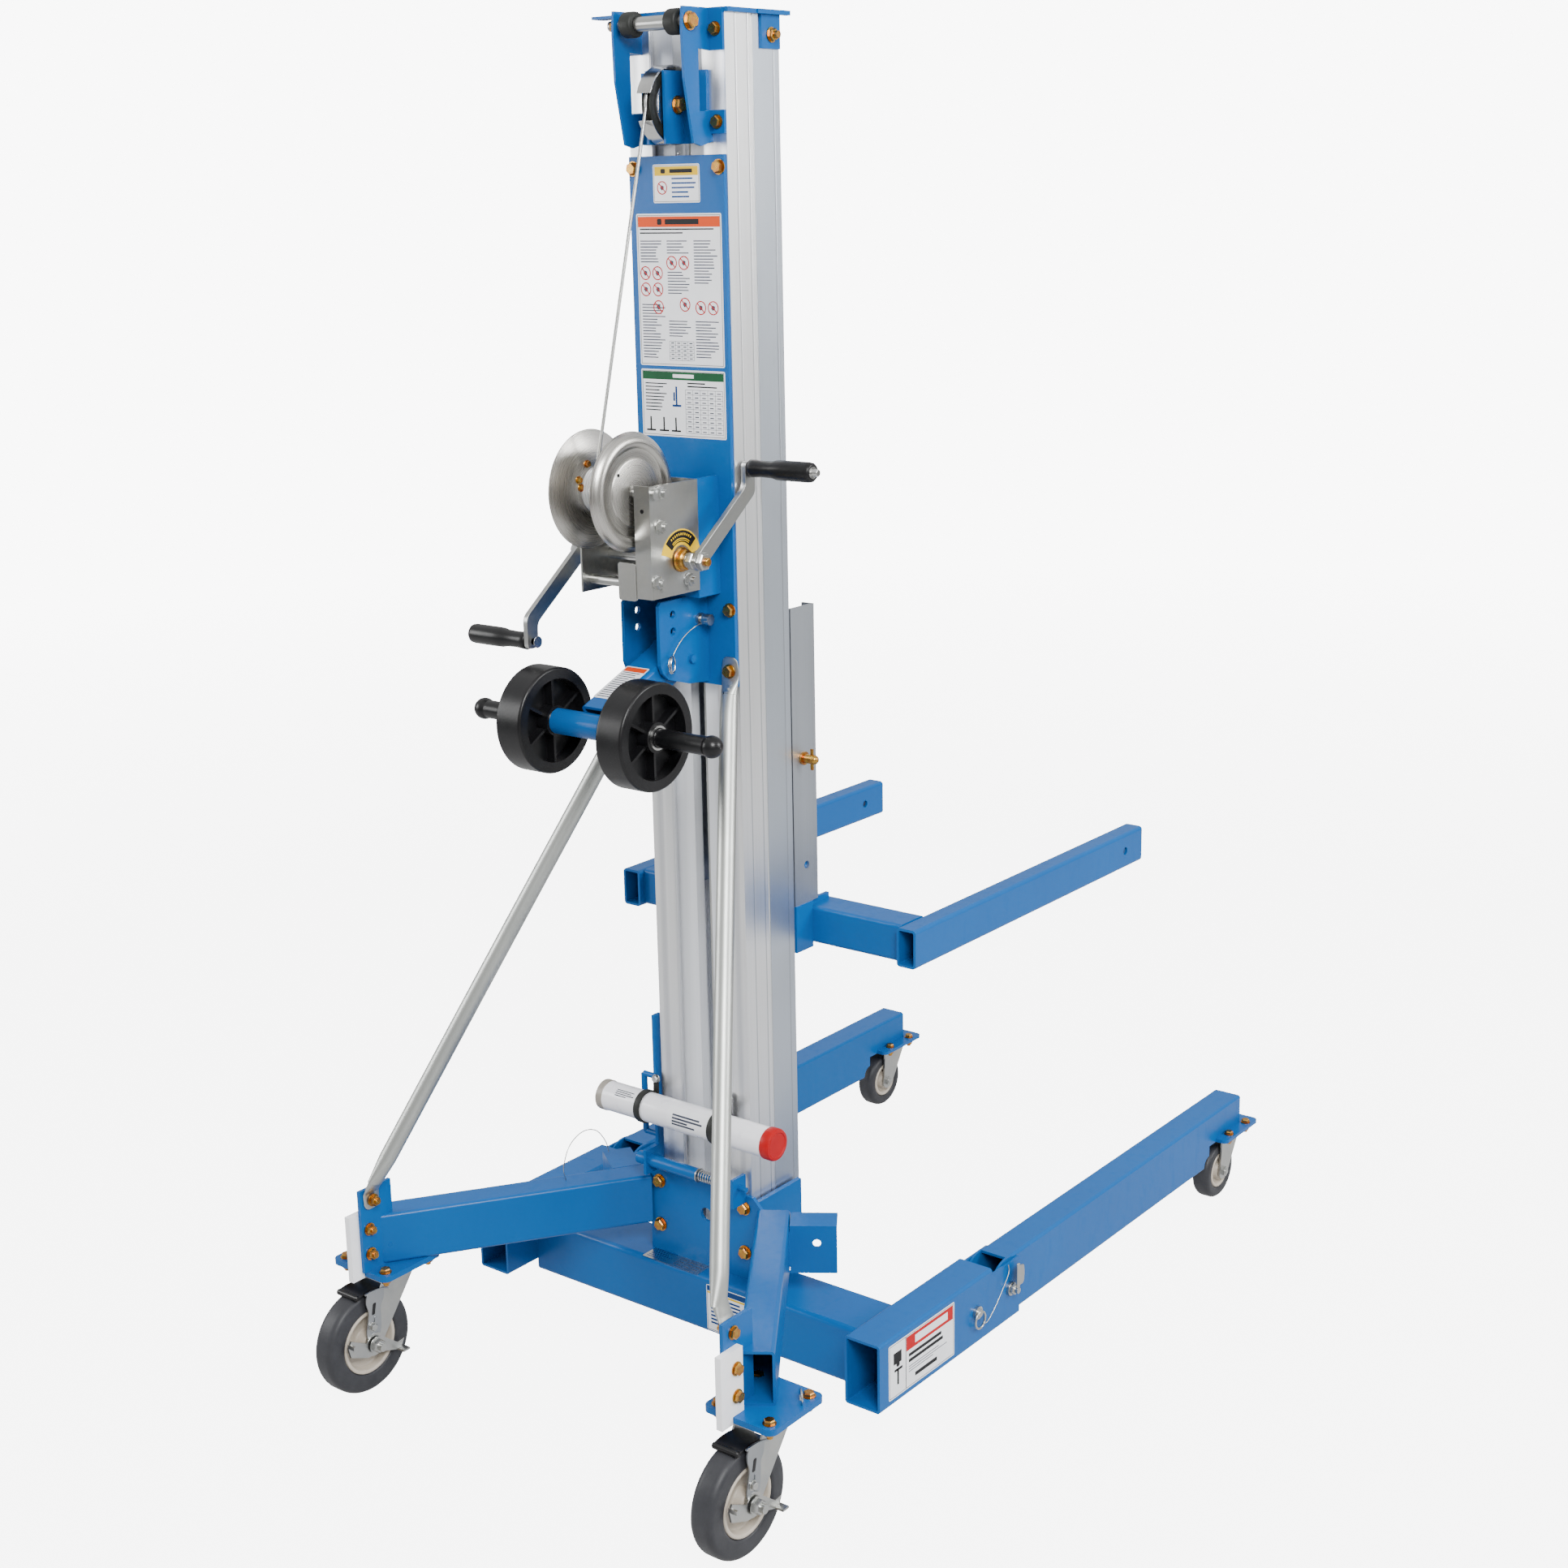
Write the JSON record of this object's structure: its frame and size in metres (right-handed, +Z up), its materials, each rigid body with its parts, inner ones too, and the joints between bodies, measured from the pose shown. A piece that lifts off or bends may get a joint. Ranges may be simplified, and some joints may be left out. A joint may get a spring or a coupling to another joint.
{
  "type": "material lift",
  "caption": "Winch-operated material lift: telescoping aluminium mast on a wheeled base with folding front legs and a fork carriage.",
  "frame": {"origin": "on the floor, under the centre of the box round the whole lift", "axes": "+Z up along the mast, +Y forward along forks and legs, +X to the operator's right; metres"},
  "size_m": [0.848, 1.52, 1.99],
  "materials": {
    "blue_paint": "gloss powder coat",
    "mast_alu": "clear anodised extrusion",
    "rail_alu": "clear anodised extrusion",
    "brace_alu": "drawn tube",
    "zinc": "bright zinc plate",
    "gold_zinc": "yellow zinc plate",
    "grey_tyre": "moulded",
    "cream_hub": "moulded",
    "black_rubber": "matt",
    "black_plastic": "moulded",
    "white_plastic": "machined",
    "wire_rope": "galvanised"
  },
  "bodies": {
    "base": {"cross_tube": "blue_paint", "foot_plate": "blue_paint", "sleeve_left": "blue_paint", "sleeve_right": "blue_paint", "outrigger_left": "blue_paint", "outrigger_right": "blue_paint", "wear_pads": "white_plastic", "brace_left": "brace_alu", "brace_right": "brace_alu", "pivot_pins": "zinc", "outer_column_left": "mast_alu", "outer_column_right": "mast_alu", "top_bracket": "blue_paint", "roller_shaft": "zinc", "sheave_guard": "blue_paint", "operator_plate": "blue_paint", "winch_pedestal": "blue_paint", "winch_frame": "zinc", "winch_cable": "wire_rope", "dolly_bracket": "blue_paint", "manual_tube": "white_plastic", "foot_bolts": "gold_zinc"},
    "mid_stage": {"mid_mast": "mast_alu"},
    "inner_stage": {"inner_mast": "mast_alu"},
    "carriage": {"carriage_rails": "rail_alu", "carriage_frame": "blue_paint", "fork_left": "blue_paint", "fork_right": "blue_paint"},
    "carriage_pin": {"rail_pin": "gold_zinc"},
    "cable_sheave": {"sheave": "black_plastic"},
    "drum_gear": {"drum": "zinc"},
    "crank": {"crank_shaft": "zinc"},
    "crank_grip_l": {"crank_grip_left": "black_plastic"},
    "crank_grip_r": {"crank_grip_right": "black_plastic"},
    "roller_l": {"top_roller_left": "black_rubber"},
    "roller_r": {"top_roller_right": "black_rubber"},
    "dolly": {"dolly_arm": "blue_paint", "dolly_grips": "black_plastic"},
    "dolly_wheel_l": {"dolly_wheel_left": "black_plastic"},
    "dolly_wheel_r": {"dolly_wheel_right": "black_plastic"},
    "dolly_lock": {"dolly_pin": "zinc"},
    "hold_down": {"hold_down_bar": "blue_paint"},
    "leg_l": {"leg_left": "blue_paint"},
    "front_swivel_l": {"front_yoke_left": "zinc"},
    "front_wheel_l": {"front_tyre_left": "grey_tyre", "front_hub_left": "cream_hub"},
    "rear_swivel_l": {"rear_yoke_left": "zinc"},
    "rear_wheel_l": {"rear_tyre_left": "grey_tyre", "rear_hub_left": "cream_hub"},
    "brake_l": {"brake_pedal_left": "zinc"},
    "leg_pin_l": {"lock_pin_left": "zinc"},
    "leg_r": {"leg_right": "blue_paint"},
    "front_swivel_r": {"front_yoke_right": "zinc"},
    "front_wheel_r": {"front_tyre_right": "grey_tyre", "front_hub_right": "cream_hub"},
    "rear_swivel_r": {"rear_yoke_right": "zinc"},
    "rear_wheel_r": {"rear_tyre_right": "grey_tyre", "rear_hub_right": "cream_hub"},
    "brake_r": {"brake_pedal_right": "zinc"},
    "leg_pin_r": {"lock_pin_right": "zinc"}
  },
  "joints": [
    {"name": "mid_stage_slide", "type": "slide", "parent": "base", "child": "mid_stage", "axis": [0, 0, 1], "range_m": [0, 1.45]},
    {"name": "inner_stage_slide", "type": "slide", "parent": "mid_stage", "child": "inner_stage", "axis": [0, 0, 1], "range_m": [0, 1.45]},
    {"name": "carriage_slide", "type": "slide", "parent": "inner_stage", "child": "carriage", "axis": [0, 0, 1], "range_m": [-0.53, 0.78]},
    {"name": "carriage_pin_slide", "type": "slide", "parent": "carriage", "child": "carriage_pin", "axis": [1, 0, 0], "range_m": [0, 0.03]},
    {"name": "drum_turn", "type": "hinge", "parent": "base", "child": "drum_gear", "pos_m": [0, -0.433, 1.363], "axis": [1, 0, 0], "range_deg": [-1200, 1700]},
    {"name": "crank_turn", "type": "hinge", "parent": "base", "child": "crank", "pos_m": [0, -0.381, 1.268], "axis": [1, 0, 0], "range_deg": [-4900, 3400]},
    {"name": "sheave_turn", "type": "hinge", "parent": "base", "child": "cable_sheave", "pos_m": [0, -0.307, 1.868], "axis": [1, 0, 0], "range_deg": [-1300, 900]},
    {"name": "crank_grip_r_turn", "type": "hinge", "parent": "crank", "child": "crank_grip_r", "pos_m": [0.15, -0.26986, 1.38309], "axis": [1, 0, 0], "continuous": true},
    {"name": "crank_grip_l_turn", "type": "hinge", "parent": "crank", "child": "crank_grip_l", "pos_m": [-0.18, -0.49214, 1.15291], "axis": [1, 0, 0], "continuous": true},
    {"name": "roller_l_turn", "type": "hinge", "parent": "base", "child": "roller_l", "pos_m": [-0.0387, -0.332, 1.972], "axis": [1, 0, 0], "continuous": true},
    {"name": "roller_r_turn", "type": "hinge", "parent": "base", "child": "roller_r", "pos_m": [0.0387, -0.332, 1.972], "axis": [1, 0, 0], "continuous": true},
    {"name": "dolly_swing", "type": "hinge", "parent": "base", "child": "dolly", "pos_m": [0, -0.333, 1.118], "axis": [1, 0, 0], "range_deg": [0, 24]},
    {"name": "dolly_wheel_l_turn", "type": "hinge", "parent": "dolly", "child": "dolly_wheel_l", "pos_m": [-0.092, -0.503, 1.048], "axis": [1, 0, 0], "continuous": true},
    {"name": "dolly_wheel_r_turn", "type": "hinge", "parent": "dolly", "child": "dolly_wheel_r", "pos_m": [0.092, -0.503, 1.048], "axis": [1, 0, 0], "continuous": true},
    {"name": "dolly_pin_slide", "type": "slide", "parent": "base", "child": "dolly_lock", "axis": [1, 0, 0], "range_m": [0, 0.085]},
    {"name": "hold_down_slide", "type": "slide", "parent": "base", "child": "hold_down", "axis": [-1, 0, 0], "range_m": [0, 0.02], "stiffness_N_per_m": 300},
    {"name": "leg_l_fold", "type": "hinge", "parent": "base", "child": "leg_l", "pos_m": [-0.3645, -0.051, 0.131], "axis": [1, 0, 0], "range_deg": [0, 90]},
    {"name": "leg_pin_l_slide", "type": "slide", "parent": "base", "child": "leg_pin_l", "axis": [-1, 0, 0], "range_m": [0, 0.07]},
    {"name": "front_swivel_l_turn", "type": "hinge", "parent": "leg_l", "child": "front_swivel_l", "pos_m": [-0.3645, 0.699, 0.1], "axis": [0, 0, 1], "continuous": true},
    {"name": "front_wheel_l_turn", "type": "hinge", "parent": "front_swivel_l", "child": "front_wheel_l", "pos_m": [-0.3645, 0.677, 0.051], "axis": [1, 0, 0], "continuous": true},
    {"name": "rear_swivel_l_turn", "type": "hinge", "parent": "base", "child": "rear_swivel_l", "pos_m": [-0.365, -0.619, 0.15], "axis": [0, 0, 1], "continuous": true},
    {"name": "rear_wheel_l_turn", "type": "hinge", "parent": "rear_swivel_l", "child": "rear_wheel_l", "pos_m": [-0.365, -0.679, 0.081], "axis": [1, 0, 0], "continuous": true},
    {"name": "brake_l_press", "type": "hinge", "parent": "rear_swivel_l", "child": "brake_l", "pos_m": [-0.337, -0.679, 0.081], "axis": [1, 0, 0], "range_deg": [0, 16]},
    {"name": "leg_r_fold", "type": "hinge", "parent": "base", "child": "leg_r", "pos_m": [0.3645, -0.051, 0.131], "axis": [1, 0, 0], "range_deg": [0, 90]},
    {"name": "leg_pin_r_slide", "type": "slide", "parent": "base", "child": "leg_pin_r", "axis": [1, 0, 0], "range_m": [0, 0.07]},
    {"name": "front_swivel_r_turn", "type": "hinge", "parent": "leg_r", "child": "front_swivel_r", "pos_m": [0.3645, 0.699, 0.1], "axis": [0, 0, 1], "continuous": true},
    {"name": "front_wheel_r_turn", "type": "hinge", "parent": "front_swivel_r", "child": "front_wheel_r", "pos_m": [0.3645, 0.677, 0.051], "axis": [1, 0, 0], "continuous": true},
    {"name": "rear_swivel_r_turn", "type": "hinge", "parent": "base", "child": "rear_swivel_r", "pos_m": [0.365, -0.619, 0.15], "axis": [0, 0, 1], "continuous": true},
    {"name": "rear_wheel_r_turn", "type": "hinge", "parent": "rear_swivel_r", "child": "rear_wheel_r", "pos_m": [0.365, -0.679, 0.081], "axis": [1, 0, 0], "continuous": true},
    {"name": "brake_r_press", "type": "hinge", "parent": "rear_swivel_r", "child": "brake_r", "pos_m": [0.393, -0.679, 0.081], "axis": [1, 0, 0], "range_deg": [0, 16]}
  ],
  "couplings": [
    {"joint": "drum_turn", "follows": "carriage_slide", "rad_per_m": 34.483},
    {"joint": "crank_turn", "follows": "carriage_slide", "rad_per_m": -102.17},
    {"joint": "sheave_turn", "follows": "carriage_slide", "rad_per_m": -21.978}
  ]
}
